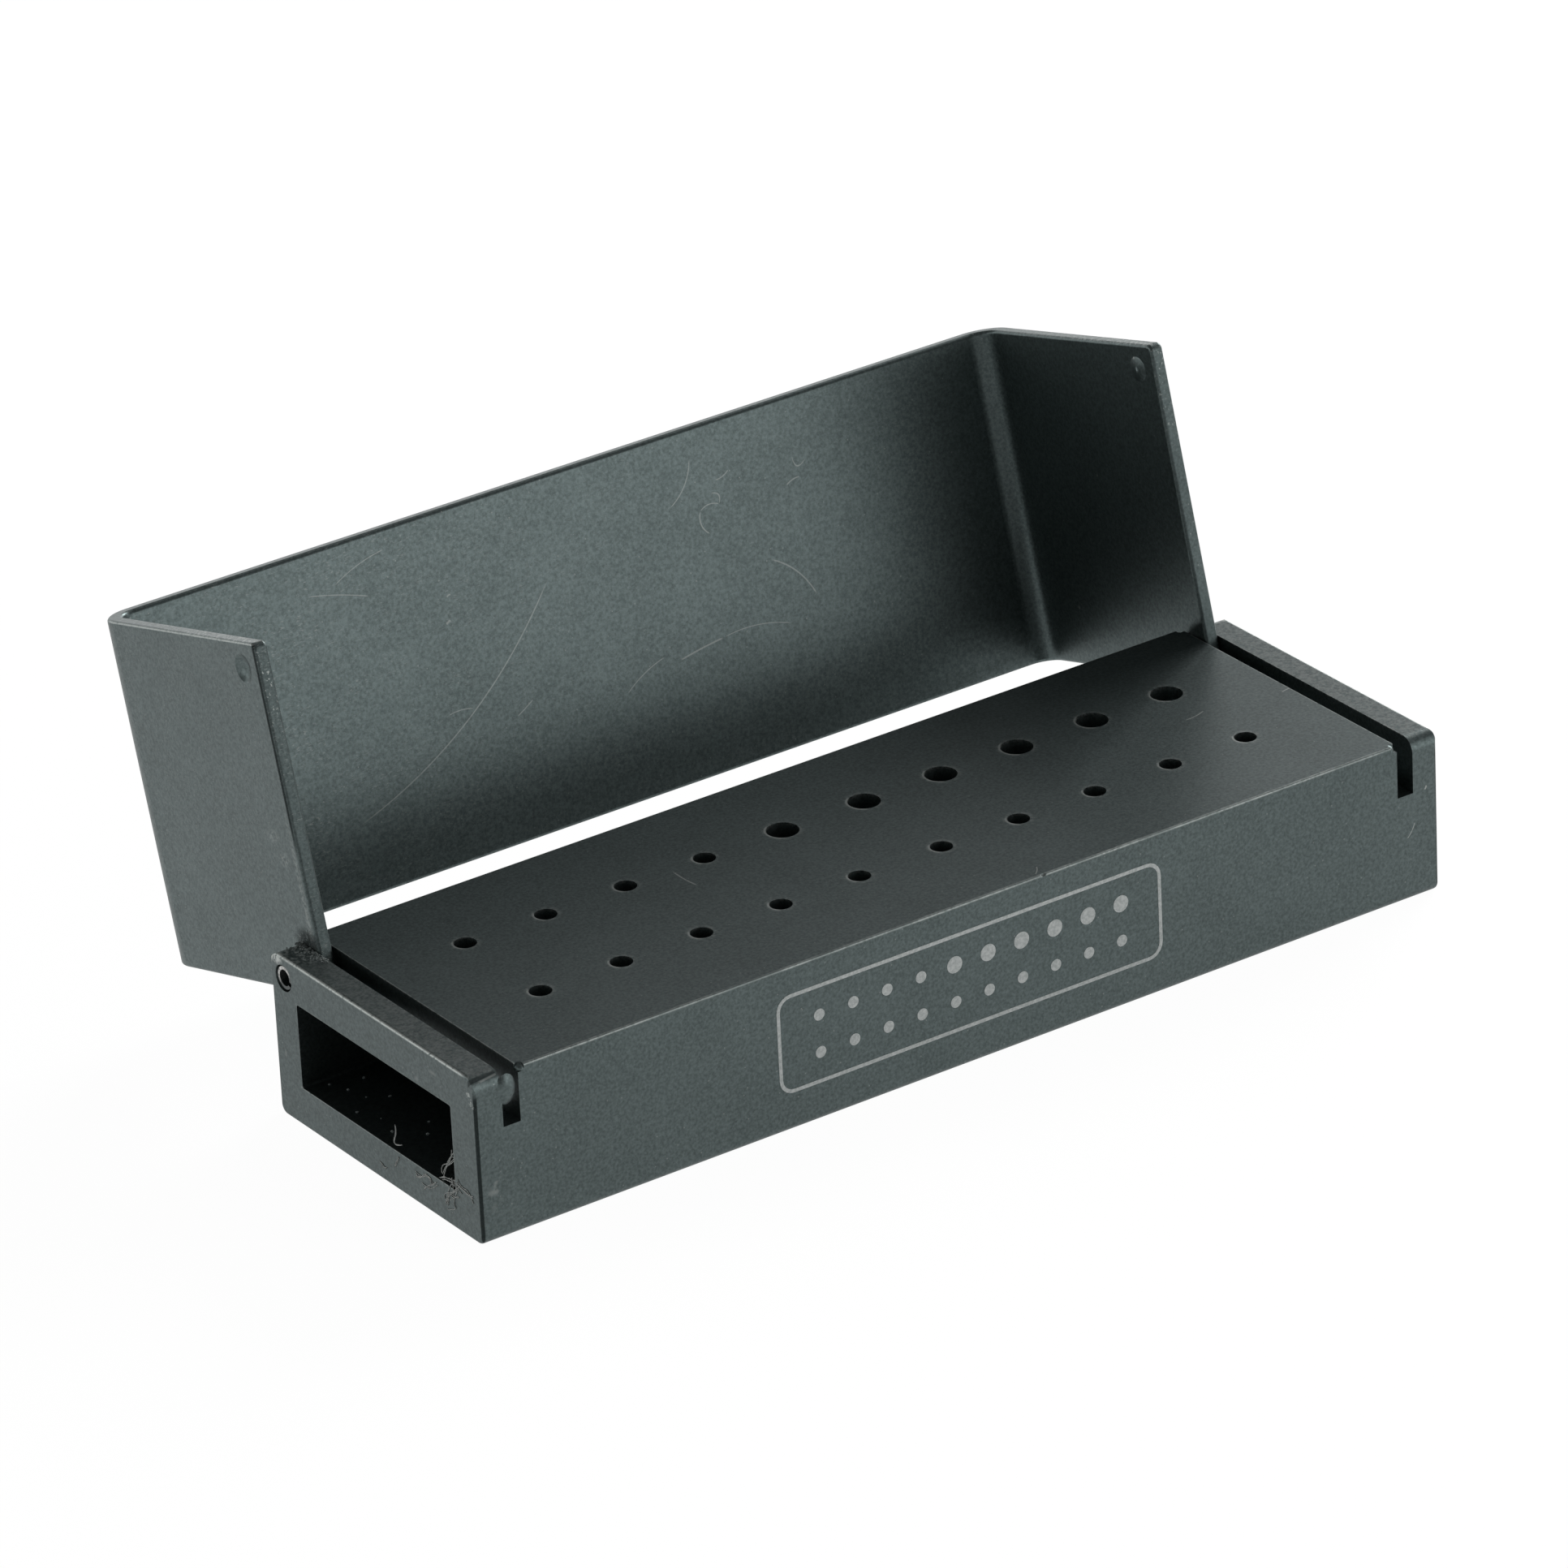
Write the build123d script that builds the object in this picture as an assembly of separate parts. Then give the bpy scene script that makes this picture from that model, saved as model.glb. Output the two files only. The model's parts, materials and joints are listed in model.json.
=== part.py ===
from build123d import *
import math
import os

# Block: a length of rectangular aluminium tube, open at both ends.
# X runs along it, Y from the front to the back, Z up, and the origin is the centre of its underside.
block_length = 82.5
block_depth = 25.4
block_height = 12.7
tube_wall = 3.1
tube_inner_round = 0.2
top_edge_round = 0.15
bottom_edge_round = 0.7
end_face_round = 0.25
end_plate_corner_round = 1.1

# A saw slot near each end takes the cover's flap and leaves an end plate outside it.
end_plate_thickness = 2.2
slot_width = 1.4
slot_depth = 4.2
slot_corner_round = 0.5

# Two rows of bur holes go through the top wall. Two set-ups drilled them, half of each row at a time.
holes_per_row = 10
hole_pitch = 6.7
row_break = 0.35
front_row_y = -4.6
rear_row_y = 4.7
small_hole_diameter = 1.65
large_hole_diameter = 2.4
small_holes_in_rear_row = 4

# Hinge: a slotted spring pin in each end plate, running on through the flap into the block.
hinge_inset = 1.6
hinge_drop = 1.65
pin_diameter = 2.0
pin_wall = 0.4
pin_gap = 0.35
pin_gap_angle = -65.0
pin_length = 6.0
pin_chamfer = 0.15
pin_sunk = 0.1
pin_hole_spare = 0.2
hinge_clearance = 0.05

# Cover: one bent sheet, a panel with a flap at each end. It leans back when it is open.
sheet = 1.1
bend_inner_radius = 1.5
open_lean = 15.2
front_reach = 23.55
flap_lip = 1.65
panel_standoff = 20.75
stop_clearance = 0.06
flap_outer_clearance = 0.08
flap_hinge_corner_round = 1.5
flap_free_corner_round = 0.5
sheet_edge_round = 0.25

# A pressed dimple near each flap's free corner is hollow outside and stands out inside.
dimple_from_free_end = 1.9
dimple_from_lip = 2.1
dimple_diameter = 2.1
dimple_depth = 0.45
bump_diameter = 1.9
bump_clearance = 0.05

# Damage: a knock at the left end plate's front top corner, with metal smeared over the slot's mouth,
# and a nick in each long front edge.
knock_x_from_end = 1.15
knock_radius = 1.45
knock_depth = 0.3
smear_length = 2.3
smear_width = 1.6
smear_height = 0.3
smear_root = 0.07
smear_drop = 1.45
smear_over_slot = 1.2
top_nick_x = 6.4
top_nick_radius = 0.45
top_nick_depth = 0.14
bottom_nick_x = -9.9
bottom_nick_radius = 0.6
bottom_nick_depth = 0.17

half_length = block_length / 2
half_depth = block_depth / 2
slot_outer_x = half_length - end_plate_thickness
slot_centre_x = slot_outer_x - slot_width / 2
slot_floor_z = block_height - slot_depth
hinge_y = half_depth - hinge_inset
hinge_z = block_height - hinge_drop
pin_radius = pin_diameter / 2
flap_outer_x = slot_outer_x - flap_outer_clearance
flap_inner_x = flap_outer_x - sheet
bump_height = slot_width - flap_outer_clearance - sheet - bump_clearance


def flap_tail():
    """How far the flap runs on past the hinge: its end comes down on the slot's rear edge at the open lean."""
    lean = math.radians(open_lean)
    stop_drop = hinge_z - slot_floor_z
    return stop_drop * math.cos(lean) - hinge_inset * math.sin(lean) - stop_clearance


def along_x(sketch, low, high):
    """Extrude a sketch drawn in Y and Z from one X to another."""
    return extrude(Plane.YZ.offset(low) * sketch, high - low)


def dome(base_radius, height):
    """A spherical cap on the XY plane, rising along Z."""
    ball_radius = (base_radius**2 + height**2) / (2 * height)
    ball = Pos(0, 0, height - ball_radius) * Sphere(ball_radius)
    return ball & Pos(0, 0, height / 2) * Box(4 * base_radius, 4 * base_radius, height)


def hole_places():
    """(x, y, diameter) of each bur hole, from left to right in the front row and then in the rear row."""
    places = []
    for row_y, small_count in ((front_row_y, holes_per_row), (rear_row_y, small_holes_in_rear_row)):
        for i in range(holes_per_row):
            half_break = row_break / 2 if i >= holes_per_row / 2 else -row_break / 2
            x = (i - (holes_per_row - 1) / 2) * hole_pitch + half_break
            diameter = small_hole_diameter if i < small_count else large_hole_diameter
            places.append((x, row_y, diameter))
    return places


def tube():
    """The plain tube: long edges broken, the end faces' outlines rounded off."""
    outline = Pos(0, block_height / 2) * Rectangle(block_depth, block_height)
    top_corners = outline.vertices().group_by(Axis.Y)[-1]
    outline = fillet(top_corners, top_edge_round)
    bottom_corners = outline.vertices().group_by(Axis.Y)[0]
    outline = fillet(bottom_corners, bottom_edge_round)
    body = along_x(outline, -half_length, half_length)
    ends = body.faces().sort_by(Axis.X)
    body = fillet(ends[0].edges() + ends[-1].edges(), end_face_round)
    inner = RectangleRounded(block_depth - 2 * tube_wall, block_height - 2 * tube_wall, tube_inner_round)
    return body - along_x(Pos(0, block_height / 2) * inner, -block_length, block_length)


def end_plate_trim(side):
    """What comes off an end plate's two top corners, from the slot outwards."""
    blank = Pos(0, block_height / 2) * Rectangle(2 * block_depth, block_height * 2)
    kept = Pos(0, block_height / 2) * Rectangle(block_depth, block_height)
    kept = fillet(kept.vertices().group_by(Axis.Y)[-1], end_plate_corner_round)
    below = Pos(0, 0) * Rectangle(3 * block_depth, 2 * (block_height - end_plate_corner_round))
    inside = slot_centre_x * side
    outside = block_length * side
    return along_x(blank - kept - below, min(inside, outside), max(inside, outside))


def slot_corner_trim(x_side, y_side):
    """What tumbling took off the block's top corner beside a slot: a cube's corner rounded to a ball."""
    half = slot_corner_round / 2
    corner = Pos(x_side * (slot_outer_x - slot_width), y_side * half_depth, block_height)
    inwards = Pos(-x_side * half, -y_side * half, -half)
    blank = Box(slot_corner_round, slot_corner_round, slot_corner_round)
    ball = Pos(-x_side * half, -y_side * half, -half) * Sphere(slot_corner_round)
    return corner * inwards * (blank - ball)


def bur_hole(x, y, diameter):
    """A drill that goes through the top wall and leaves a sharp mouth."""
    return Pos(x, y, block_height - tube_wall / 2) * Cylinder(diameter / 2, 2 * tube_wall)


def pin_hole(side):
    """A blind hole from the end face, through the end plate and the slot, into the corner of the tube."""
    depth = pin_sunk + pin_length + pin_hole_spare
    centre = Pos(side * (half_length - depth / 2), hinge_y, hinge_z)
    return centre * Rot(0, 90, 0) * Cylinder(pin_radius, depth)


def edge_scoop(x, z_sign, radius, depth):
    """A ball that bites a nick of the given depth out of a front edge, the top one or the bottom one."""
    edge_z = block_height if z_sign > 0 else 0
    reach = (radius - depth) / math.sqrt(2)
    return Pos(x, -half_depth - reach, edge_z + z_sign * reach) * Sphere(radius)


def smear():
    """A tongue of metal on the left end plate's front face, knocked over the mouth of the slot."""
    x = -slot_outer_x + smear_over_slot - smear_width / 2
    place = Pos(x, -half_depth + smear_root, block_height - smear_drop) * Rot(90, 0, 0)
    tongue = dome(smear_length / 2, smear_height + smear_root)
    return place * scale(tongue, by=(smear_width / smear_length, 1, 1))


def make_block():
    body = tube()
    for side in (-1, 1):
        body -= end_plate_trim(side)
        slot = Pos(side * slot_centre_x, 0, slot_floor_z + slot_depth)
        body -= slot * Box(slot_width, 2 * block_depth, 2 * slot_depth)
        body = body - slot_corner_trim(side, -1) - slot_corner_trim(side, 1)
        body -= pin_hole(side)
    for x, y, diameter in hole_places():
        body -= bur_hole(x, y, diameter)
    body -= edge_scoop(-half_length + knock_x_from_end, 1, knock_radius, knock_depth)
    body -= edge_scoop(top_nick_x, 1, top_nick_radius, top_nick_depth)
    body -= edge_scoop(bottom_nick_x, -1, bottom_nick_radius, bottom_nick_depth)
    return body + smear()


def cover_profile():
    """The bent sheet seen along the panel's height: Y is towards the back, with the hinge line at 0."""
    depth = panel_standoff + flap_lip
    centre = Pos(0, (panel_standoff - flap_lip) / 2)
    outer = centre * Rectangle(2 * flap_outer_x, depth)
    outer = fillet(outer.vertices().group_by(Axis.Y)[-1], bend_inner_radius + sheet)
    inner = centre * Pos(0, -sheet) * Rectangle(2 * flap_inner_x, depth)
    inner = fillet(inner.vertices().group_by(Axis.Y)[-1], bend_inner_radius)
    return outer - inner


def rim_edges(shape):
    """The edges round the rim of the sheet, on both of its sides: all but the bends' and the corners' own."""
    across = shape.edges().filter_by(Axis.X).filter_by(lambda e: e.length < 2 * sheet)
    bends = shape.edges().filter_by(Axis.Z).filter_by(lambda e: e.center().Y > 0)
    return shape.edges() - across - bends


def flap_corners(shape, tail):
    """The sheet's edges across its thickness at the flaps' front corners: (by the hinge, at the free end)."""
    across = shape.edges().filter_by(Axis.X).filter_by(lambda e: abs(e.length - sheet) < 0.01)
    low = across.filter_by(lambda e: abs(e.center().Z + tail) < 0.01)
    high = across.filter_by(lambda e: abs(e.center().Z - front_reach) < 0.01)
    return low, high


def dimple(side):
    """(hollow cut in the flap's outer face, bump added on its inner face)."""
    y = dimple_from_lip - flap_lip
    z = front_reach - dimple_from_free_end
    inwards = Rot(0, -90 * side, 0)
    hollow = Pos(side * flap_outer_x, y, z) * inwards * dome(dimple_diameter / 2, dimple_depth)
    bump = Pos(side * flap_inner_x, y, z) * inwards * dome(bump_diameter / 2, bump_height)
    return hollow, bump


def make_cover():
    """The cover stands upright on its hinge line while it is made, and is then leaned back into place."""
    tail = flap_tail()
    body = Pos(0, 0, -tail) * extrude(cover_profile(), tail + front_reach)
    low, high = flap_corners(body, tail)
    body = fillet(low, min(flap_hinge_corner_round, tail, flap_lip) - 0.01)
    low, high = flap_corners(body, tail)
    body = fillet(high, flap_free_corner_round)
    body = fillet(rim_edges(body), min(sheet_edge_round, 0.4 * sheet))
    for side in (-1, 1):
        hollow, bump = dimple(side)
        body = body - hollow + bump
    pin_clearance_hole = Rot(0, 90, 0) * Cylinder(pin_radius + hinge_clearance, 2 * block_length)
    body -= pin_clearance_hole
    return Pos(0, hinge_y, hinge_z) * Rot(-open_lean, 0, 0) * body


def make_pin(side):
    """A slotted spring pin: a rolled tube with a gap along it and a chamfer at each end."""
    ring = Cylinder(pin_radius, pin_length)
    ring = chamfer(ring.edges().filter_by(GeomType.CIRCLE), pin_chamfer)
    ring -= Cylinder(pin_radius - pin_wall, 2 * pin_length)
    gap = Rot(0, 0, pin_gap_angle) * Pos(pin_radius, 0, 0) * Box(2 * pin_radius, pin_gap, 2 * pin_length)
    upright = ring - gap
    centre_x = side * (half_length - pin_sunk - pin_length / 2)
    return Pos(centre_x, hinge_y, hinge_z) * Rot(0, 90, 0) * upright


parts = {
    "block": make_block(),
    "cover": make_cover(),
    "hinge_pin_left": make_pin(-1),
    "hinge_pin_right": make_pin(1),
}

os.makedirs("parts", exist_ok=True)
for name, shape in parts.items():
    export_step(shape, f"parts/{name}.step")
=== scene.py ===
import json
import math
import random

import bmesh
import bpy
from mathutils import Matrix, Vector


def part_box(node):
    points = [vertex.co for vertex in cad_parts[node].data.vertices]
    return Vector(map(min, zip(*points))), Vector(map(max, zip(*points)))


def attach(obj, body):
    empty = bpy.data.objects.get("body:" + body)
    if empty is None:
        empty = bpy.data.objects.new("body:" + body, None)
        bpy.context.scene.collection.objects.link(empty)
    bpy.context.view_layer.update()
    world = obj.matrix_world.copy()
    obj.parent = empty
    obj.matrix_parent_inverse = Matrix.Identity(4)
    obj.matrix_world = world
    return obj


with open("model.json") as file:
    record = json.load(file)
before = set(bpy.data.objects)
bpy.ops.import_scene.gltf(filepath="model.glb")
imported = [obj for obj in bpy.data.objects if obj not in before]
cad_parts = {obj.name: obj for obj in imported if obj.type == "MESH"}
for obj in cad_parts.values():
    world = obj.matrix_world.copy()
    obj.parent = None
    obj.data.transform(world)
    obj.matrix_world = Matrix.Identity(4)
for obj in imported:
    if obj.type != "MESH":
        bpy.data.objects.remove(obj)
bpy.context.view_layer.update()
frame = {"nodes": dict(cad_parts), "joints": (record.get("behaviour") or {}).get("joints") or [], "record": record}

# Everything is placed in metres. Patterns and small parts are worked out in millimetres.
MM = 0.001

# The block, from the middle of its underside, with its end plates, slots and windows.
half_length, half_depth, block_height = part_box("block")[1] / MM
end_plate = 2.2
slot_width = 1.4
slot_outer_x = half_length - end_plate
slot_inner_x = slot_outer_x - slot_width
window_half_width = 9.6
window_bottom = 3.1
window_top = 9.6
long_edge_round = 0.15
plate_corner_round = 1.1

# The cover: a bent sheet, measured from its hinge, upright. It leans back when it is open.
hinge = Vector(frame["joints"][0]["pos_m"]) / MM
open_lean = math.radians(15.2)
sheet = 1.1
sheet_top = 23.55
sheet_tail = 1.98
flap_lip = 1.65
panel_outer = 20.75
flap_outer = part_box("cover")[1].x / MM

# The bur holes, from the mounts of the record: two rows, a pitch apart, with a small step in the middle.
bores = [mount for mount in frame["record"]["mounts"] if mount["kind"] == "bore"]
front_row_y = min(mount["pos_m"][1] for mount in bores) / MM
rear_row_y = max(mount["pos_m"][1] for mount in bores) / MM
small_hole_radius = min(mount["dims"]["r_mm"] for mount in bores)
large_hole_radius = max(mount["dims"]["r_mm"] for mount in bores)
hole_pitch = 6.7
half_row_break = 0.175
first_large_hole_x = -6.9
row_end_x = (33.0, 32.5)

# Print on the front face: a plan of the holes, in a frame.
print_middle_z = 6.8
print_length = 33.0
print_height = 7.6
print_line = 0.28
print_corner = 1.2
print_corner_steps = 5
print_proud = 0.015
print_columns = 10
print_small_columns = 4
print_pitch = 2.88
print_row = 1.45
print_dot_scale = 0.54
print_dot_sides = 20

# Dried dirt between the left flap and its end plate, finest at the front. Its spread and coarseness are
# given at the rear, each with what it loses on the way to the front.
crust_rear_y = 12.2
crust_front_y = 8.3
crust_grains = 150
crust_spread = (0.55, 0.3)
crust_end_margin = 0.35
crust_radius = (0.04, 0.11)
crust_coarseness = (1.15, 0.5)
crust_stretch = (0.6, 1.5)
crust_lift = 0.25
grain_flatness = 0.6
grain_nudge = 0.018

# Specks of dust on the floor of the left window: their X and Y, and how far each stretches along them.
dust_places = (
    (-39.57, 8.79), (-39.01, 7.27), (-37.18, 8.07), (-37.26, -0.23), (-38.29, -1.66),
    (-39.52, 2.31), (-37.25, 4.63), (-39.98, 0.2), (-38.6, 5.6), (-40.3, 4.1),
)
dust_radius = (0.08, 0.15)
dust_stretch = ((0.8, 1.5), (0.8, 1.3))
dust_lift = 0.4

# Lint at the left window. Each strand: how far it lies inside the end face, its Y and Z, and its fibres.
lint_strands = (
    (0.1, ((-9.85, 5.85), (-9.01, 4.93), (-8.38, 4.37), (-8.06, 3.52)), 4),
    (0.3, ((-8.32, 4.35), (-8.51, 5.08), (-9.19, 5.5), (-9.6, 5.2)), 2),
    (0.2, ((-7.3, 2.88), (-7.9, 3.22), (-8.37, 3.29), (-8.96, 3.36)), 4),
    (0.0, ((-8.44, 1.81), (-8.62, 2.32), (-9.24, 2.79), (-9.86, 3.24)), 8),
    (0.0, ((-9.74, 3.72), (-10.46, 3.53), (-11.14, 3.45), (-11.82, 3.38)), 4),
    (0.0, ((-4.67, 2.1), (-5.27, 2.28), (-6.14, 2.86), (-6.58, 2.61)), 4),
    (0.0, ((-5.6, 1.63), (-6.29, 2.13), (-6.8, 2.3), (-7.17, 2.71)), 4),
    (0.0, ((-0.05, 1.33), (-0.3, 1.3), (-0.55, 1.15), (-0.78, 1.09)), 2),
    (0.0, ((-2.03, 1.79), (-2.2, 2.1), (-2.38, 2.37), (-2.53, 2.65)), 2),
    (0.2, ((-1.98, 4.95), (-2.09, 4.42), (-1.65, 3.59), (-1.85, 3.31), (-2.76, 3.69)), 2),
    (0.4, ((-9.1, 4.9), (-9.3, 4.6), (-9.6, 4.5), (-9.8, 4.8)), 4),
    (0.1, ((-9.0, 3.4), (-9.3, 3.9), (-9.7, 3.6), (-9.9, 4.2)), 4),
)
lint_radius = 0.032
lint_stray = 0.09
lint_proud = 0.02

# Colours, linear.
BLOCK_DYE = ((0.066, 0.084, 0.083, 1), (0.128, 0.159, 0.158, 1))
COVER_DYE = ((0.073, 0.093, 0.092, 1), (0.142, 0.177, 0.176, 1))
# Black for painted shade and grime, and a pale metal for wear and painted highlights.
SHADE_AND_GRIME_BLACK = (0.010, 0.014, 0.014, 1)
BARE_METAL_AND_HIGHLIGHT = (0.46, 0.49, 0.47, 1)
SCRATCHED = (0.30, 0.32, 0.31, 1)
CHALK = (0.24, 0.27, 0.26, 1)
DIRT = (0.09, 0.11, 0.11, 1)
STEEL = (0.62, 0.62, 0.60, 1)
STEEL_DULL = (0.30, 0.30, 0.29, 1)
STEEL_IN_SHADE = (0.09, 0.10, 0.10, 1)
FIBRE = (0.50, 0.52, 0.50, 1)
FIBRE_DARK = (0.32, 0.34, 0.33, 1)
INK = (0.66, 0.69, 0.68, 1)
INK_THIN = (0.46, 0.50, 0.49, 1)
PAPER = (0.86, 0.86, 0.86, 1)
WHITE = (1, 1, 1, 1)

# Dyed aluminium: the sizes of its grain and their shares in its tone, its light specks, and how it shines.
FINE_GRAIN = 0.13
SPECKLE = 0.23
CLOUD = 6.0
FINE_SHARE = 0.35
CLOUD_SHARE = 0.2
TONE_RANGE = (0.42, 1.12)
SPECK_CELL = 0.9
SPECK_RADIUS = 0.055
SPECK_STRENGTH = 0.45
ROUGH_LEAST = 0.30
ROUGH_BY_GRAIN = 0.16
ROUGH_BY_DIRT_AND_SHADE = 0.35
METAL_SHARE = 0.92
GRAIN_DEPTH = 0.004

# Marks, in millimetres. A pair says where a mark ends and where it is full. A line or facet of three
# numbers lies between the first two, and is as soft as the third. A scratch has three points and half its
# width. A patch has a middle, two radii and a softness. Wear is three numbers: the levels of a noise
# about 0.5 between which it comes in, and its strength.
ON_FACE = (0.15, 0.05)
BROKEN_ROUGHNESS = 0.7
SCRATCH_CORE = 0.35
SCRATCH_TIP = (0.0, 0.08)

# The block's edges, and its plates' rims.
BLOCK_BREAKS = 0.30
BLOCK_PATCHES = 3.5
BLOCK_PATCH_RANGE = (0.30, 0.62)
PLATE_BLEND = 0.2
LONG_EDGE = (-0.07, 0.03)
LONG_EDGE_WEAR = (0.3, 0.6, 0.35)
LONG_EDGE_LEAST = 0.18
TOP_RIM = (0.24, 0.09)
TOP_RIM_DEPTH = (1.3, 0.6)
TOP_RIM_Y = (-11.7, -10.9)
TOP_RIM_WEAR = (0.2, 0.5, 0.9)
# The rim down the front of each end face is darkened with painted shade.
SIDE_RIM = (0.24, 0.16)
SIDE_RIM_DEPTH = (0.9, 1.6)
SIDE_RIM_SHADE = 0.8
SLOT_EDGE = (0.11, 0.04)
INNER_EDGE_WEAR = (0.30, 0.55, 0.42)
OUTER_EDGE_WEAR = (0.42, 0.62, 0.32)
PLATE_TOP_WEAR = (0.3, 0.7, 0.45)
REAR_CORNER_PATCH = ((11.9, 12.4), (0.7, 0.5), 0.6)
REAR_CORNER = (0.5, 0.2)
REAR_CORNER_WEAR = (0.3, 0.5, 1.0)

# A knock on the left plate's front corner: a facet darkened with painted shade that climbs from the end, over a
# bright line.
KNOCK_FROM_SLOT = (0.05, 0.2)
KNOCK_Y = (-11.9, -12.1)
KNOCK_START = 0.35
KNOCK_CLIMB = 0.15
KNOCK_DROP = 0.13
KNOCK_LINE = (0.16, 0.04)
KNOCK_LINE_START = (0.35, 0.95)
KNOCK_LINE_WEAR = (0.25, 0.5, 0.5)
KNOCK_FACET = (0.14, 0.62, 0.06)
KNOCK_FACET_SHADE = 0.6
KNOCK_RUB = ((-11.85, 11.65), (-12.12, 11.1), (-12.45, 10.4), 0.30)
KNOCK_RUB_FACE = (0.25, 0.10)
KNOCK_RUB_WEAR = (0.48, 0.58, 0.65)

# Hole mouths: a painted highlight at the left of each, and a broken halo.
MOUTH_DEPTH = (0.25, 0.1)
MOUTH_HIGHLIGHT = (0.20, 0.08)
MOUTH_HIGHLIGHT_SIDE = (-0.40, -0.75)
MOUTH_HIGHLIGHT_STRENGTH = 0.55
HALO = (0.45, 0.05)
HALO_WEAR = (0.4, 0.6, 0.40)

# Window edges: how far from the edge and from the end face they are worn, and how far past the sides.
WINDOW_EDGE = (0.12, 0.04)
WINDOW_FACE = (0.12, 0.03)
WINDOW_SIDE = (0.3, 0.1)
WINDOW_WEAR = (0.35, 0.6, 0.2)
WINDOW_BOTTOM = (0.14, 0.06)
WINDOW_BOTTOM_WEAR = (0.3, 0.5, 0.35)

# Scratches on the block's top (X and Y) and front (X and Z), smudges, and chalk by the left hinge.
TOP_SCRATCHES = (
    ((-13.11, 4.42), (-13.17, 2.84), (-13.02, 1.57), 0.09),
    ((28.69, 0.36), (30.13, 0.53), (30.67, 0.76), 0.08),
    ((36.81, -0.44), (37.83, -0.26), (38.35, -0.17), 0.08),
    ((6.0, -12.3), (6.35, -12.0), (6.75, -11.4), 0.06),
)
FRONT_SCRATCHES = (
    ((39.15, 6.15), (38.85, 5.5), (38.45, 5.05), 0.05),
    ((40.25, 8.75), (40.2, 8.6), (40.1, 8.45), 0.10),
)
SCRATCH_BREAKS = (0.25, 0.5)
SMUDGE = ((-40.1, 4.2), (0.7, 2.0), 0.9)
SMUDGE_GRAIN = 0.9
SMUDGE_WEAR = (0.50, 0.72, 0.45)
THUMBED = (
    ((-7.6, 11.3), (0.5, 0.16), 0.9),
    ((-5.5, 10.0), (0.25, 0.2), 0.9),
    ((11.5, 5.0), (0.15, 0.3), 0.9),
)
THUMBED_STRENGTH = 0.35
HINGE_CHALK = ((-40.0, 10.9), (1.5, 1.9), 0.6)
HINGE_CHALK_DEPTH = (0.35, 0.15)
HINGE_CHALK_WEAR = (0.45, 0.65, 0.7)

# The cover's rim: speckled light, and a dark line of painted shade where it turns into the faces.
COVER_BREAKS = 0.28
RIM = (0.12, 0.04)
TOP_SPECK_WEAR = (0.46, 0.60, 0.5)
FRONT_SPECK_WEAR = (0.60, 0.68, 0.6)
FRONT_SPECK_Z = (14.0, 22.0)
RIM_SPECK_Y = (26.0, -4.0)
CORNER_LINE_DEPTH = 0.1
CORNER_LINE = (0.08, 0.02)
CORNER_LINE_WEAR = (0.25, 0.5, 0.6)
EDGE_LINE = (0.10, 0.32, 0.05)
EDGE_LINE_Z = (7.0, 11.0)
EDGE_LINE_SHADE = 0.8
INNER_LINE = (0.10, 0.28, 0.05)
INNER_LINE_SHADE = 0.6
RIM_SHADE = 0.25
RIM_SHADE_REACH = (0.22, 0.1)
RIM_SHADE_FRONT = (0.3, 0.1)

# Outside of the left flap: rubs, a painted highlight and painted shade on the pressed dimple, and grime and chalk
# round the hinge (Y and Z).
FLAP_FACE = (0.3, 0.1)
FLAP_RUB = (0.45, 0.85, 0.2)
FLAP_RUB_Z = (14.0, 6.0)
FLAP_RUB_WEAR = (0.4, 0.62, 0.25)
FLAP_RUB_PATCHES = (((1.42, 9.49), (0.9, 0.5), 0.8), ((0.43, 7.83), (0.7, 0.6), 0.8))
FLAP_RUB_PATCH_WEAR = (0.40, 0.62, 0.22)
DIMPLE_HIGHLIGHT = ((0.30, 21.15), (0.16, 0.12), 0.6)
DIMPLE_HIGHLIGHT_STRENGTH = 0.8
DIMPLE_SHADE = ((0.62, 21.85), (0.32, 0.26), 0.9)
DIMPLE_SHADE_DARK = 0.8
HINGE_GRIME = ((-0.3, 2.1), (1.5, 0.9), 0.7)
HINGE_GRIME_WEAR = (0.3, 0.5, 0.75)
FLAP_CHALK = ((0.6, 1.5), (1.2, 0.5), 0.7)
FLAP_CHALK_GRAIN = 0.25
FLAP_CHALK_WEAR = (0.5, 0.65, 0.6)

# Specks on the inside of the right flap (Y and Z).
INSIDE_SPECKS = (((0.7, 22.51), (0.12, 0.12)), ((14.19, 2.5), (0.14, 0.14)), ((8.41, 13.1), (0.10, 0.10)))
INSIDE_SPECK_X = (37.6, 37.8)
INSIDE_SPECK_STRENGTH = 0.8
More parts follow.
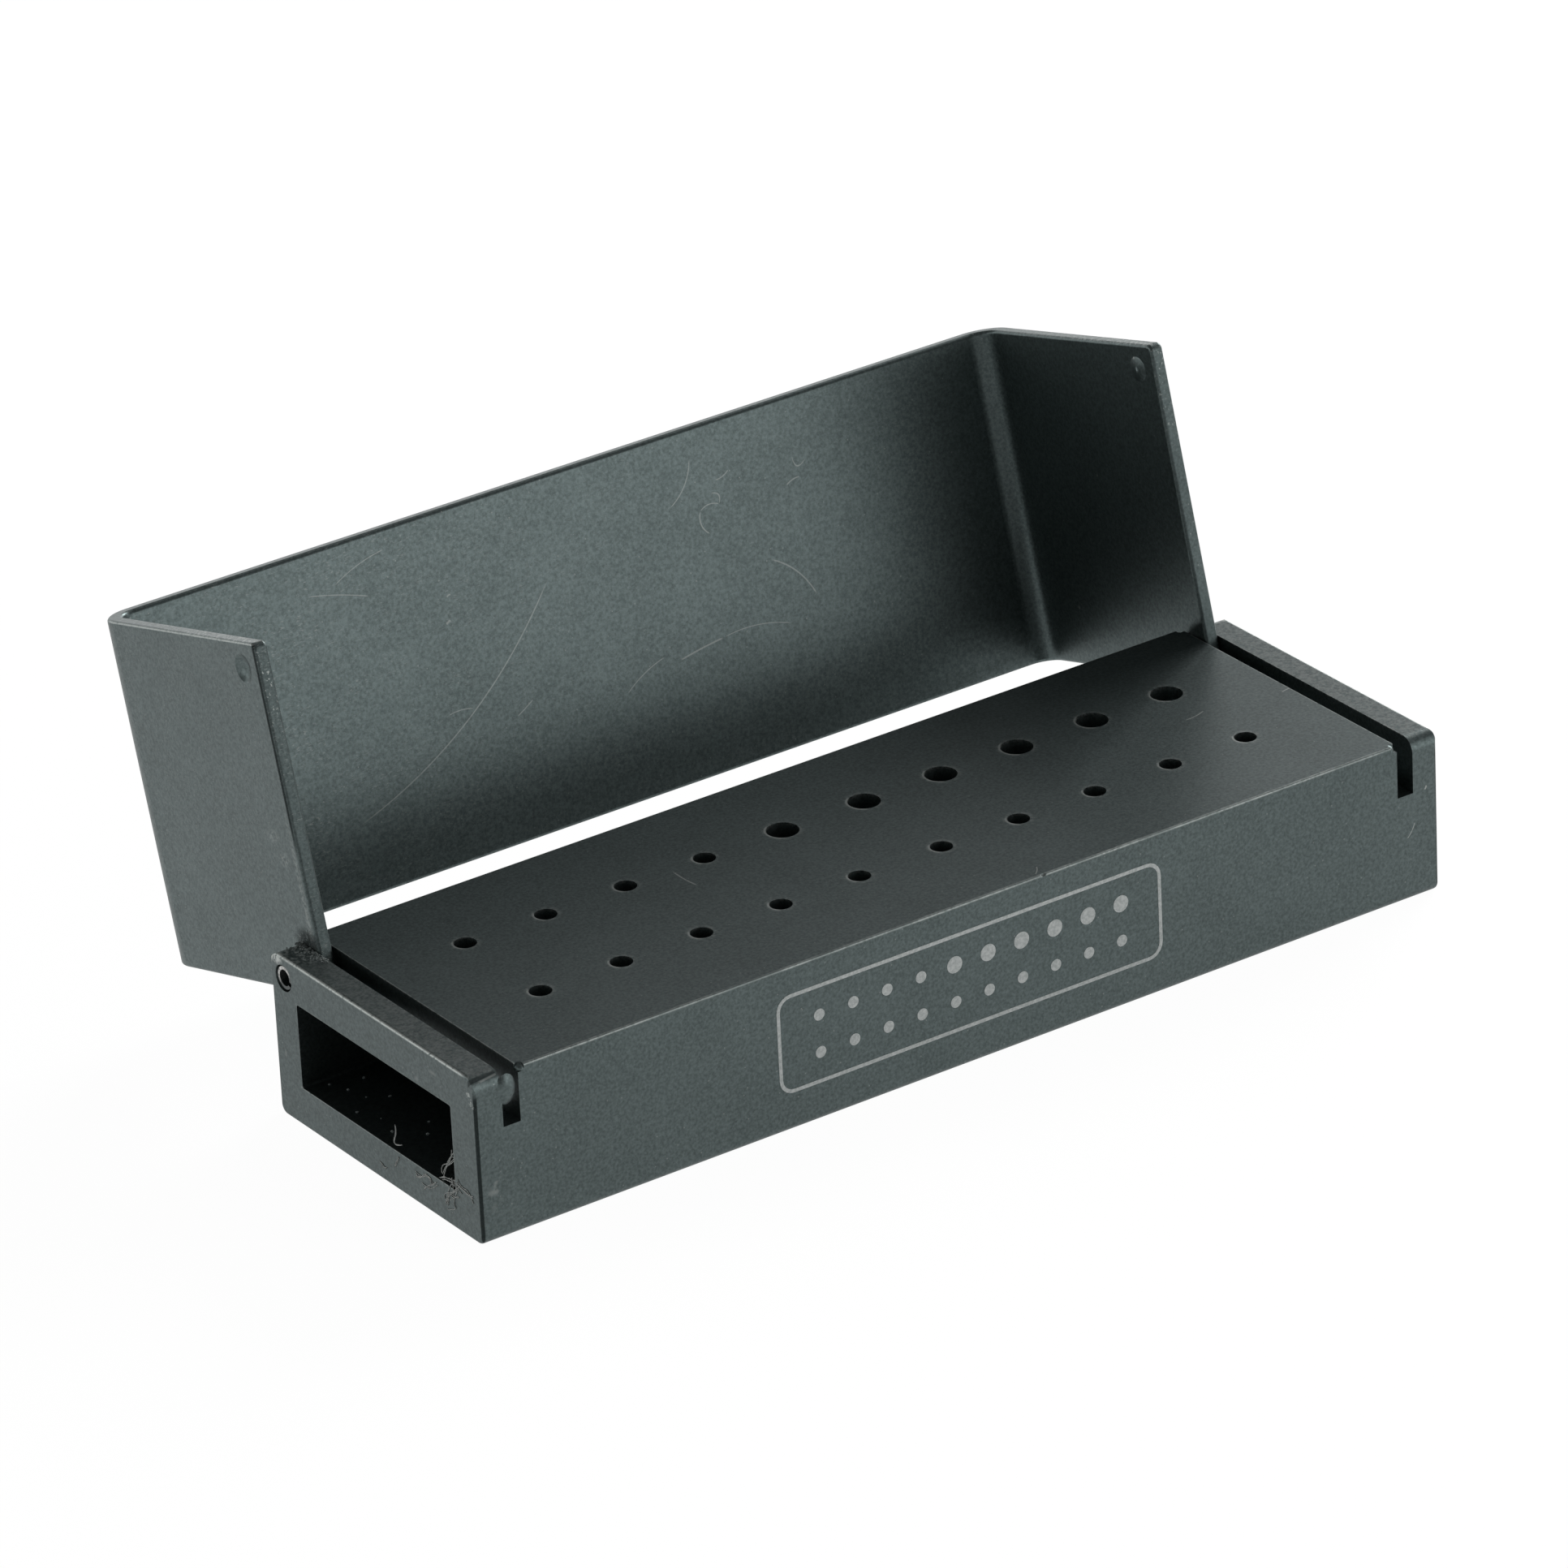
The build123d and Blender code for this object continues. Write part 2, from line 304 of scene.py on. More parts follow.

# Inside of the panel: scratches (X and Z), marks of rolling, and a darker strip of painted shade along the bottom.
PANEL_DEPTH = (-0.05, 0.3, 0.05)
PANEL_SCRATCHES = (
    ((-2.74, 16.34), (-10.52, 8.93), (-22.42, 3.19), 0.07),
    ((6.54, 7.14), (8.6, 7.5), (10.6, 7.73), 0.09),
    ((10.6, 7.73), (13.3, 7.85), (16.6, 7.07), 0.05),
    ((1.65, 6.03), (3.4, 7.1), (5.4, 7.78), 0.06),
    ((-20.2, 20.57), (-18.3, 21.4), (-15.6, 22.0), 0.05),
    ((-22.5, 20.42), (-20.0, 19.85), (-17.5, 19.04), 0.05),
    ((15.83, 12.16), (17.72, 10.82), (19.16, 8.51), 0.08),
    ((19.33, 19.08), (19.75, 18.2), (20.45, 18.57), 0.08),
    ((18.4, 17.09), (19.0, 17.35), (19.64, 17.42), 0.07),
    ((11.95, 18.31), (12.6, 17.8), (12.45, 17.37), 0.08),
    ((12.45, 17.37), (11.4, 17.55), (10.77, 17.29), 0.06),
    ((10.77, 17.29), (10.6, 16.4), (11.2, 15.45), 0.08),
    ((13.77, 19.58), (13.2, 19.25), (12.51, 19.14), 0.06),
    ((10.72, 21.3), (10.1, 19.8), (8.26, 18.19), 0.06),
    ((-7.7, 7.14), (-6.8, 7.6), (-6.16, 7.97), 0.06),
    ((-13.25, 8.85), (-12.2, 8.95), (-11.1, 8.76), 0.05),
    ((-11.9, 15.3), (-11.7, 15.42), (-11.5, 15.5), 0.12),
    ((-11.4, 17.2), (-11.2, 17.3), (-11.05, 17.3), 0.09),
)
PANEL_SCRATCH_WEAR = (0.1, 0.45, 0.55)
ROLLED_STRETCH = (0.25, 1.0, 1.0)
ROLLED_GRAIN = 0.09
ROLLED_WEAR = (0.56, 0.74, 0.34)
ROLLED_PATCHES = 4.0
ROLLED_PATCH_RANGE = (0.30, 0.6)
ROLLED_X = (15.0, -35.0)
ROLLED_LEAST = 0.35
BOTTOM_STRIP = (1.7, 0.9)
BOTTOM_STRIP_SHADE = 0.15

# The pins: dull blotches, and painted shade on the lower side and in the bore.
PIN_SCUFFS = 0.25
PIN_BORE = (0.66, 0.58)
PIN_UPHILL = (0.55, 0.85)
PIN_LIT = (0.25, 0.75)
PIN_DULL = (0.4, 0.65)
PIN_ROUGH = (0.15, 0.3)
SCUFF_DEPTH = 0.01

# Soft finishes: between which levels of their grain the shade comes in.
SOFT_RANGE = (0.3, 0.7)

# Light from all round: its strength at the horizon and overhead, and between which heights it falls.
# It is dimmer from behind the camera.
HORIZON = 1.42
ZENITH = 0.18
HORIZON_TOP = 0.15
ZENITH_FROM = 0.5
DIM_SIDE = (-0.559, -0.829, 0.0)
DIM_SHARE = 0.2
DIM_FROM = 0.55
DIM_FULL = 0.95

# Lamps: place and side in metres, and power in watts. They point at the middle of the block.
LAMPS = (("rear_right", (0.55, 0.22, 0.28), 0.3, 2.6), ("front_right", (0.46, -0.77, 0.40), 0.6, 1.2))
LAMP_TARGET = (0, 0, 0.01)

# The floor: half its side in millimetres, its own light, and how much of it the camera and metal see.
floor_half_side = 4000.0
FLOOR_GLOW = 1.05
FLOOR_TO_CAMERA = 0.92
FLOOR_IN_METAL = 0.66


class Nodes:
    """Short calls for the nodes that a pattern needs."""

    def __init__(self, tree):
        self.tree = tree

    def add(self, kind, inputs=(), **settings):
        node = self.tree.nodes.new(kind)
        for key, value in settings.items():
            setattr(node, key, value)
        for key, value in dict(inputs).items():
            self.feed(node.inputs[key], value)
        return node

    def feed(self, socket, value):
        if isinstance(value, bpy.types.NodeSocket):
            self.tree.links.new(value, socket)
        else:
            socket.default_value = value

    def math(self, operation, *values):
        return self.add("ShaderNodeMath", enumerate(values), operation=operation).outputs[0]

    def plus(self, a, b):
        return self.math("ADD", a, b)

    def minus(self, a, b):
        return self.math("SUBTRACT", a, b)

    def times(self, a, b):
        return self.math("MULTIPLY", a, b)

    def size_of(self, a):
        return self.math("ABSOLUTE", a)

    def least(self, first, *others):
        for other in others:
            first = self.math("MINIMUM", first, other)
        return first

    def most(self, first, *others):
        for other in others:
            first = self.math("MAXIMUM", first, other)
        return first

    def all_of(self, first, *others):
        for other in others:
            first = self.times(first, other)
        return first

    def length(self, a, b):
        return self.math("SQRT", self.plus(self.times(a, a), self.times(b, b)))

    def ramp(self, value, start, end, first, last):
        """One level up to the start and another from the end on, with a soft step between."""
        sockets = {"Value": value, "From Min": start, "From Max": end, "To Min": first, "To Max": last}
        return self.add("ShaderNodeMapRange", sockets, interpolation_type="SMOOTHSTEP").outputs[0]

    def fade(self, value, zero_at, one_at):
        """0 at one value and 1 at another, with a soft step between, and flat beyond."""
        return self.ramp(value, zero_at, one_at, 0.0, 1.0)

    def inside(self, value, low, high, soft):
        """1 between two values, 0 outside them."""
        above_low = self.fade(value, low - soft, low + soft)
        return self.times(above_low, self.fade(value, high + soft, high - soft))

    def axes(self, point):
        return self.add("ShaderNodeSeparateXYZ", {0: point}).outputs


class Finish(Nodes):
    """A material in the making: its shader, and the patterns of metal, wear, dirt, and painted light and shade."""

    def __init__(self, name):
        self.material = bpy.data.materials.new(name)
        self.material.use_nodes = True
        super().__init__(self.material.node_tree)
        self.shader = self.tree.nodes["Principled BSDF"]

    def set(self, **sockets):
        for name, value in sockets.items():
            self.feed(self.shader.inputs[name.replace("_", " ")], value)

    def place(self, origin=(0, 0, 0), lean=0.0):
        """The point in millimetres, in a frame that sits at origin and leans with the piece."""
        point = self.add("ShaderNodeTexCoord").outputs["Object"]
        sockets = {
            "Vector": point,
            "Location": [c * MM for c in origin],
            "Rotation": (lean, 0, 0),
            "Scale": (MM, MM, MM),
        }
        return self.add("ShaderNodeMapping", sockets, vector_type="TEXTURE").outputs[0]

    def join(self, x, y):
        return self.add("ShaderNodeCombineXYZ", {0: x, 1: y}).outputs[0]

    def stretched(self, point, by):
        return self.add("ShaderNodeVectorMath", {0: point, 1: by}, operation="MULTIPLY").outputs[0]

    def grain(self, point, size, roughness=0.6, detail=2.0):
        """Noise with features of about the given size in millimetres, from 0 to 1 about a middle of 0.5."""
        sockets = {"Vector": point, "Scale": 1 / size, "Detail": detail, "Roughness": roughness}
        return self.add("ShaderNodeTexNoise", sockets).outputs[0]

    def specks(self, point, cell, radius, soft=0.3):
        """Round specks, one for each cell of the given size, where it happens to meet the surface."""
        near = self.add("ShaderNodeTexVoronoi", {"Vector": point, "Scale": 1 / cell}).outputs["Distance"]
        return self.fade(near, (1 + soft) * radius / cell, (1 - soft) * radius / cell)

    def mix(self, factor, a, b):
        node = self.add("ShaderNodeMix", data_type="RGBA")
        for socket, value in ((node.inputs[0], factor), (node.inputs[6], a), (node.inputs[7], b)):
            self.feed(socket, value)
        return node.outputs[2]

    def bump(self, height, depth_mm):
        sockets = {"Height": height, "Distance": depth_mm * MM, "Strength": 1.0}
        return self.add("ShaderNodeBump", sockets).outputs[0]

    def wear(self, mark, noise, levels):
        """A mark that a noise breaks up, at its strength."""
        none, full, strength = levels
        return self.all_of(mark, self.fade(noise, none, full), strength)

    def stroke(self, u, v, start, through, end, half_width):
        """A scratch from start to end by way of a third point: a shallow bow that fades at its ends."""
        run = Vector(end) - Vector(start)
        turn = math.atan2(run.y, run.x)
        middle = Matrix.Rotation(-turn, 2) @ (Vector(through) - Vector(start))
        share = middle.x / run.length
        bow = middle.y / (share * (1 - share))
        sockets = {"Vector": self.join(u, v), "Location": (*start, 0), "Rotation": (0, 0, turn)}
        local = self.add("ShaderNodeMapping", sockets, vector_type="TEXTURE").outputs[0]
        along, across, _ = self.axes(local)
        along = self.times(along, 1 / run.length)
        arch = self.times(along, self.minus(1.0, along))
        off_line = self.size_of(self.minus(across, self.times(arch, bow)))
        line = self.fade(off_line, half_width, SCRATCH_CORE * half_width)
        return self.times(line, self.fade(arch, *SCRATCH_TIP))

    def strokes(self, u, v, lines):
        return self.most(*[self.stroke(u, v, *line) for line in lines])

    def patch(self, u, v, centre, radii, soft=0.5):
        """An oval patch, soft towards its rim."""
        du = self.times(self.minus(u, centre[0]), 1 / radii[0])
        dv = self.times(self.minus(v, centre[1]), 1 / radii[1])
        return self.fade(self.length(du, dv), 1.0 + soft / 2, 1.0 - soft)

    def patches(self, u, v, places):
        return self.most(*[self.patch(u, v, *place) for place in places])


def dyed_aluminium(finish, point, dye, worn_and_highlit, marks, chalk, dark):
    """Blasted and dyed aluminium: a fine grain, speckled tone, what use has left on it, and painted highlights and
    shade.
    """
    fine = finish.grain(point, FINE_GRAIN)
    speckle = finish.grain(point, SPECKLE)
    cloud = finish.grain(point, CLOUD, roughness=0.5)
    tone = finish.plus(finish.times(fine, FINE_SHARE),
                       finish.plus(speckle, finish.times(cloud, CLOUD_SHARE)))
    specks = finish.times(finish.specks(point, SPECK_CELL, SPECK_RADIUS), SPECK_STRENGTH)
    colour = finish.mix(finish.fade(tone, *TONE_RANGE), *dye)
    # The dark mask brings in painted shade, and on the cover also the hinge grime.
    colour = finish.mix(dark, colour, SHADE_AND_GRIME_BLACK)
    colour = finish.mix(finish.most(marks, specks), colour, SCRATCHED)
    # The worn mask brings in bare metal where the finish is worn, and painted highlights.
    colour = finish.mix(worn_and_highlit, colour, BARE_METAL_AND_HIGHLIGHT)
    colour = finish.mix(chalk, colour, CHALK)
    rough = finish.plus(finish.times(fine, ROUGH_BY_GRAIN), ROUGH_LEAST)
    rough = finish.plus(rough, finish.times(finish.plus(chalk, dark), ROUGH_BY_DIRT_AND_SHADE))
    finish.set(
        Base_Color=colour,
        Metallic=finish.times(finish.minus(1.0, chalk), METAL_SHARE),
        Roughness=rough,
        Normal=finish.bump(fine, GRAIN_DEPTH),
    )
    return finish.material


def knock(finish, x, y, past_side, past_top):
    """The knock: a bright line and a facet darkened with painted shade, both set off a slanting line along the
    round corner.
    """
    to_left = finish.plus(x, half_length)
    climb = finish.times(finish.minus(to_left, KNOCK_START), KNOCK_CLIMB)
    off_knock = finish.minus(finish.minus(past_top, past_side), finish.minus(climb, KNOCK_DROP))
    slot_near, slot_far = KNOCK_FROM_SLOT
    knocked = finish.times(finish.fade(x, -slot_outer_x - slot_near, -slot_outer_x - slot_far),
                           finish.fade(y, *KNOCK_Y))
    line = finish.all_of(knocked, finish.fade(finish.size_of(off_knock), *KNOCK_LINE),
                         finish.fade(to_left, *KNOCK_LINE_START))
    return line, finish.times(knocked, finish.inside(off_knock, *KNOCK_FACET))


def hole_mouths(finish, x, y, to_top, broken):
    """A painted highlight at the left of each hole's mouth, and the broken halo round it."""
    ax = finish.size_of(x)
    column = finish.times(finish.minus(ax, half_row_break), 1 / hole_pitch)
    dx = finish.times(finish.minus(finish.math("FRACT", column), 0.5), hole_pitch)
    leftward = finish.times(dx, finish.math("SIGN", x))
    front = finish.length(dx, finish.minus(y, front_row_y))
    rear = finish.length(dx, finish.minus(y, rear_row_y))
    is_large = finish.fade(x, first_large_hole_x - 0.5, first_large_hole_x + 0.5)
    wider = finish.times(is_large, large_hole_radius - small_hole_radius)
    rear_radius = finish.plus(small_hole_radius, wider)
    from_rim = finish.least(finish.size_of(finish.minus(front, small_hole_radius)),
                            finish.size_of(finish.minus(rear, rear_radius)))
    at_mouth = finish.times(finish.fade(to_top, *MOUTH_DEPTH), finish.fade(ax, *row_end_x))
    mouth_highlight = finish.all_of(finish.fade(from_rim, *MOUTH_HIGHLIGHT), finish.fade(leftward, *MOUTH_HIGHLIGHT_SIDE), at_mouth)
    halo = finish.wear(finish.times(finish.fade(from_rim, *HALO), at_mouth), broken, HALO_WEAR)
    return mouth_highlight, halo


def block_finish():
    """The block's finish: bright broken edges, slot edges and hole mouths with a painted highlight at each,
    painted shade on the end plates' front rims and on the knocked facet, and chalk by the left hinge.
    """
    finish = Finish("block_anodised")
    point = finish.place()
    x, y, z = finish.axes(point)
    ax, ay = finish.size_of(x), finish.size_of(y)
    to_end = finish.minus(half_length, ax)
    to_side = finish.minus(half_depth, ay)
    to_top = finish.minus(block_height, z)
    to_left = finish.plus(x, half_length)
    on_top = finish.fade(to_top, *ON_FACE)
    on_front = finish.fade(finish.plus(y, half_depth), *ON_FACE)
    on_left = finish.fade(to_left, *ON_FACE)
    on_plate = finish.fade(ax, slot_outer_x - PLATE_BLEND, slot_outer_x)
    broken = finish.grain(point, BLOCK_BREAKS, BROKEN_ROUGHNESS)
    worn_here = finish.fade(finish.grain(point, BLOCK_PATCHES), *BLOCK_PATCH_RANGE)

    # Long top edges: how far round the corner a point lies, in the section's rounded outline.
    corner = finish.plus(long_edge_round, finish.times(on_plate, plate_corner_round - long_edge_round))
    past_side = finish.minus(corner, to_side)
    past_top = finish.minus(corner, to_top)
    round_corner = finish.least(past_side, past_top)
    long_edge = finish.times(finish.fade(round_corner, *LONG_EDGE), finish.minus(1.0, on_plate))
    outline = finish.minus(corner, finish.plus(
        finish.length(finish.most(past_side, 0.0), finish.most(past_top, 0.0)),
        finish.least(finish.most(past_side, past_top), 0.0),
    ))

    # End plates: the rim of the end face is bright along the top, and painted shade darkens it down the front.
    top_rim = finish.all_of(finish.fade(finish.most(to_end, outline), *TOP_RIM),
                            finish.fade(to_top, *TOP_RIM_DEPTH), finish.fade(y, *TOP_RIM_Y))
    shaded_side_rim = finish.times(finish.fade(finish.most(to_end, to_side), *SIDE_RIM),
                            finish.fade(to_top, *SIDE_RIM_DEPTH))
    knock_line, shaded_knock_facet = knock(finish, x, y, past_side, past_top)
    knock_rub = finish.times(finish.stroke(y, z, *KNOCK_RUB), finish.fade(to_left, *KNOCK_RUB_FACE))
    rear_corner = finish.times(finish.patch(y, z, *REAR_CORNER_PATCH), finish.fade(to_end, *REAR_CORNER))

    # Slot edges and hole mouths.
    off_inner = finish.size_of(finish.minus(ax, slot_inner_x))
    off_outer = finish.size_of(finish.minus(ax, slot_outer_x))
    inner_edge = finish.fade(finish.most(off_inner, to_top), *SLOT_EDGE)
    outer_edge = finish.fade(finish.most(off_outer, to_top), *SLOT_EDGE)
    mouth_highlight, halo = hole_mouths(finish, x, y, to_top, broken)

    # Window at each end: its sharp edge, brightest along the bottom.
    to_bottom = finish.size_of(finish.minus(z, window_bottom))
    window = finish.least(finish.size_of(finish.minus(ay, window_half_width)), to_bottom,
                          finish.size_of(finish.minus(z, window_top)))
    side_outer, side_inner = WINDOW_SIDE
    window_edge = finish.all_of(
        finish.fade(window, *WINDOW_EDGE),
        finish.fade(to_end, *WINDOW_FACE),
        finish.fade(ay, window_half_width + side_outer, window_half_width + side_inner),
        finish.inside(z, window_bottom - side_inner, window_top + side_inner, side_inner),
    )
    bottom_edge = finish.times(window_edge, finish.fade(to_bottom, *WINDOW_BOTTOM))

    edge_level = finish.plus(finish.wear(worn_here, broken, LONG_EDGE_WEAR), LONG_EDGE_LEAST)
    worn_and_highlit = finish.most(
        finish.times(long_edge, edge_level),
        finish.wear(top_rim, broken, TOP_RIM_WEAR),
        finish.wear(inner_edge, broken, INNER_EDGE_WEAR),
        finish.wear(finish.times(outer_edge, worn_here), broken, OUTER_EDGE_WEAR),
        finish.wear(knock_line, broken, KNOCK_LINE_WEAR),
        finish.wear(knock_rub, broken, KNOCK_RUB_WEAR),
        finish.wear(rear_corner, broken, REAR_CORNER_WEAR),
        # A painted highlight at the left of each hole mouth, mixed in with the wear.
        finish.times(mouth_highlight, MOUTH_HIGHLIGHT_STRENGTH),
        finish.wear(finish.times(window_edge, worn_here), broken, WINDOW_WEAR),
        finish.wear(bottom_edge, broken, WINDOW_BOTTOM_WEAR),
    )
    scratches = finish.most(
        finish.times(finish.strokes(x, y, TOP_SCRATCHES), on_top),
        finish.times(finish.strokes(x, z, FRONT_SCRATCHES), on_front),
        halo,
    )
    smudge = finish.times(finish.patch(x, z, *SMUDGE), on_front)
    marks = finish.most(
        finish.times(scratches, finish.fade(broken, *SCRATCH_BREAKS)),
        finish.wear(smudge, finish.grain(point, SMUDGE_GRAIN), SMUDGE_WEAR),
        finish.all_of(on_left, finish.patches(y, z, THUMBED), THUMBED_STRENGTH),
        finish.wear(finish.times(on_plate, on_top), broken, PLATE_TOP_WEAR),
    )
    chalk_place = finish.times(finish.patch(x, y, *HINGE_CHALK), finish.fade(to_top, *HINGE_CHALK_DEPTH))
    chalk = finish.wear(chalk_place, broken, HINGE_CHALK_WEAR)
    # Painted shade: the front rims of the end faces and the knocked facet are darkened.
    dark = finish.most(finish.times(shaded_side_rim, SIDE_RIM_SHADE), finish.times(shaded_knock_facet, KNOCK_FACET_SHADE))
    return dyed_aluminium(finish, point, BLOCK_DYE, worn_and_highlit, marks, chalk, dark)


def cover_finish():
    """The cover's finish, in its own upright frame: rolled grain, scratches inside, a tumbled rim, painted shade
    along its front edge, inside its top and along the panel's bottom, and a painted highlight and shade on the
    dimple.
    """
    finish = Finish("cover_anodised")
    point = finish.place(hinge, -open_lean)
    x, y, z = finish.axes(point)
    broken = finish.grain(point, COVER_BREAKS, BROKEN_ROUGHNESS)
    panel_inner = panel_outer - sheet
    panel_low, panel_high, panel_soft = PANEL_DEPTH
    on_panel = finish.inside(y, panel_inner + panel_low, panel_inner + panel_high, panel_soft)
    on_left_outside = finish.fade(finish.plus(x, flap_outer), *FLAP_FACE)
    to_front = finish.plus(y, flap_lip)
    to_top = finish.minus(sheet_top, z)
    to_bottom = finish.plus(z, sheet_tail)
    to_rim = finish.least(to_top, to_bottom, to_front)

    # Rim of the sheet.
    top_specks = finish.wear(finish.fade(to_top, *RIM), broken, TOP_SPECK_WEAR)
    front_specks = finish.wear(finish.times(finish.fade(to_front, *RIM), finish.fade(z, *FRONT_SPECK_Z)),
                               broken, FRONT_SPECK_WEAR)
    rim_specks = finish.times(finish.most(top_specks, front_specks), finish.fade(y, *RIM_SPECK_Y))
    off_corner_line = finish.size_of(finish.minus(to_top, CORNER_LINE_DEPTH))
    corner_line = finish.times(finish.fade(off_corner_line, *CORNER_LINE), on_left_outside)

    # Outside of the left flap.
    rub = finish.all_of(on_left_outside, finish.inside(to_front, *FLAP_RUB), finish.fade(z, *FLAP_RUB_Z))
    rub_patches = finish.times(on_left_outside, finish.patches(y, z, FLAP_RUB_PATCHES))
    # The pressed dimple's light side is a painted highlight, mixed in with the wear.
    dimple_highlight = finish.times(on_left_outside, finish.patch(y, z, *DIMPLE_HIGHLIGHT))
    worn_and_highlit = finish.most(
        rim_specks,
        finish.wear(corner_line, broken, CORNER_LINE_WEAR),
        finish.wear(rub, broken, FLAP_RUB_WEAR),
        finish.wear(rub_patches, broken, FLAP_RUB_PATCH_WEAR),
        finish.times(dimple_highlight, DIMPLE_HIGHLIGHT_STRENGTH),
    )

    # Inside of the panel and of the right flap.
    scratches = finish.times(finish.strokes(x, z, PANEL_SCRATCHES), on_panel)
    rolled = finish.grain(finish.stretched(point, ROLLED_STRETCH), ROLLED_GRAIN)
    rolled_patches = finish.fade(finish.grain(point, ROLLED_PATCHES), *ROLLED_PATCH_RANGE)
    rolled_here = finish.times(rolled_patches, finish.plus(finish.fade(x, *ROLLED_X), ROLLED_LEAST))
    inside_specks = finish.times(finish.patches(y, z, INSIDE_SPECKS), finish.fade(x, *INSIDE_SPECK_X))
    marks = finish.most(
        finish.wear(scratches, broken, PANEL_SCRATCH_WEAR),
        finish.wear(rolled_here, rolled, ROLLED_WEAR),
        finish.times(inside_specks, INSIDE_SPECK_STRENGTH),
    )

    # Painted shade: a dark line along the left flap's front edge.
    edge_line = finish.all_of(on_left_outside, finish.inside(to_front, *EDGE_LINE),
                              finish.fade(z, *EDGE_LINE_Z), EDGE_LINE_SHADE)
    # Painted shade: a dark line inside the panel, just below its top rim.
    inner_line = finish.all_of(on_panel, finish.inside(to_top, *INNER_LINE), INNER_LINE_SHADE)
    # Painted shade darkens a strip along the bottom of the panel.
    bottom_strip = finish.all_of(on_panel, finish.fade(to_bottom, *BOTTOM_STRIP), BOTTOM_STRIP_SHADE)
    # Painted shade on the dimple's upper rear side.
    dimple_shade = finish.all_of(on_left_outside, finish.patch(y, z, *DIMPLE_SHADE), DIMPLE_SHADE_DARK)
    grime = finish.wear(finish.times(on_left_outside, finish.patch(y, z, *HINGE_GRIME)),
                        broken, HINGE_GRIME_WEAR)
    # Painted shade along the front rim.
    rim_shade = finish.all_of(finish.fade(to_rim, *RIM_SHADE_REACH), finish.fade(to_front, *RIM_SHADE_FRONT),
                             RIM_SHADE)
    dark = finish.most(edge_line, inner_line, bottom_strip, dimple_shade, grime, rim_shade)
    chalk = finish.wear(finish.times(on_left_outside, finish.patch(y, z, *FLAP_CHALK)),
                        finish.grain(point, FLAP_CHALK_GRAIN, BROKEN_ROUGHNESS), FLAP_CHALK_WEAR)
    return dyed_aluminium(finish, point, COVER_DYE, worn_and_highlit, marks, chalk, dark)


def pin_finish():
    """Bright spring steel, dulled in blotches, with painted shade on its lower side and in the bore."""
    finish = Finish("pin_steel")
    point = finish.place(hinge)
    x, y, z = finish.axes(point)
    scuffs = finish.grain(point, PIN_SCUFFS, BROKEN_ROUGHNESS)
    # Painted shade: the bore is darkened to black.
    bore = finish.fade(finish.length(y, z), *PIN_BORE)
    # Painted shade: each pin is darker on its lower side.
    uphill = finish.plus(finish.times(y, PIN_UPHILL[0]), finish.times(z, PIN_UPHILL[1]))
    lit_side = finish.fade(finish.plus(uphill, scuffs), *PIN_LIT)
    colour = finish.mix(finish.fade(scuffs, *PIN_DULL), STEEL, STEEL_DULL)
    colour = finish.mix(lit_side, STEEL_IN_SHADE, colour)
    colour = finish.mix(bore, colour, SHADE_AND_GRIME_BLACK)
    rough_least, rough_by_scuffs = PIN_ROUGH
    finish.set(
        Base_Color=colour,
        Metallic=finish.minus(1.0, bore),
        Roughness=finish.plus(finish.times(scuffs, rough_by_scuffs), rough_least),
        Normal=finish.bump(scuffs, SCUFF_DEPTH),
    )
    return finish.material


def soft_finish(name, colour, shade, size, roughness):
    """Fibre, dust or ink: a pale colour, uneven over a small scale."""
    finish = Finish(name)
    uneven = finish.grain(finish.place(), size, detail=3.0)
    finish.set(
        Base_Color=finish.mix(finish.fade(uneven, *SOFT_RANGE), colour, shade),
        Roughness=roughness,
        Normal=finish.bump(uneven, SCUFF_DEPTH),
    )
    return finish.material


def refinish(node, material):
    """Give a piece of the frame its finished material."""
    mesh = frame["nodes"][node].data
    if not mesh.materials:
        mesh.materials.append(material)
    for i in range(len(mesh.materials)):
        mesh.materials[i] = material


def lay_on_block(piece, material):
    """A new piece lies on the block: it takes its finish and rides with it."""
    piece.data.materials.append(material)
    bpy.context.scene.collection.objects.link(piece)
    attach(piece, "block")


def finished_piece(shape, name):
    """Turn a shape drawn in millimetres into an object in metres."""
    bmesh.ops.scale(shape, vec=(MM, MM, MM), verts=shape.verts)
    mesh = bpy.data.meshes.new(name)
    shape.to_mesh(mesh)
    shape.free()
    return bpy.data.objects.new(name, mesh)


def roughen(grains, draw):
    """Knock each corner of the grains a little out of place."""
    for corner in grains.verts:
        corner.co += Vector([draw.uniform(-grain_nudge, grain_nudge) for axis in range(3)])


def crust_by_the_hinge():
    """Grains of dried dirt packed between the left flap and the top of its end plate."""
    draw = random.Random(4)
    grains = bmesh.new()
    spread, spread_loss = crust_spread
    coarse, coarse_loss = crust_coarseness
    for i in range(crust_grains):
        y = draw.uniform(crust_front_y, crust_rear_y)
        forward = (crust_rear_y - y) / (crust_rear_y - crust_front_y)
        x = -slot_outer_x - abs(draw.gauss(0, spread - spread_loss * forward))
        if x < -half_length + crust_end_margin:
            continue
        radius = draw.uniform(*crust_radius) * (coarse - coarse_loss * forward)
        stretch = (draw.uniform(*crust_stretch), draw.uniform(*crust_stretch), grain_flatness, 1)
        turn = Matrix.Rotation(draw.uniform(0, math.tau), 4, "Z")
        spot = Matrix.Translation((x, y, block_height + crust_lift * radius))
        rest = spot @ turn @ Matrix.Diagonal(stretch)
        bmesh.ops.create_icosphere(grains, subdivisions=1, radius=radius, matrix=rest)
    roughen(grains, draw)
    return finished_piece(grains, "hinge_crust")


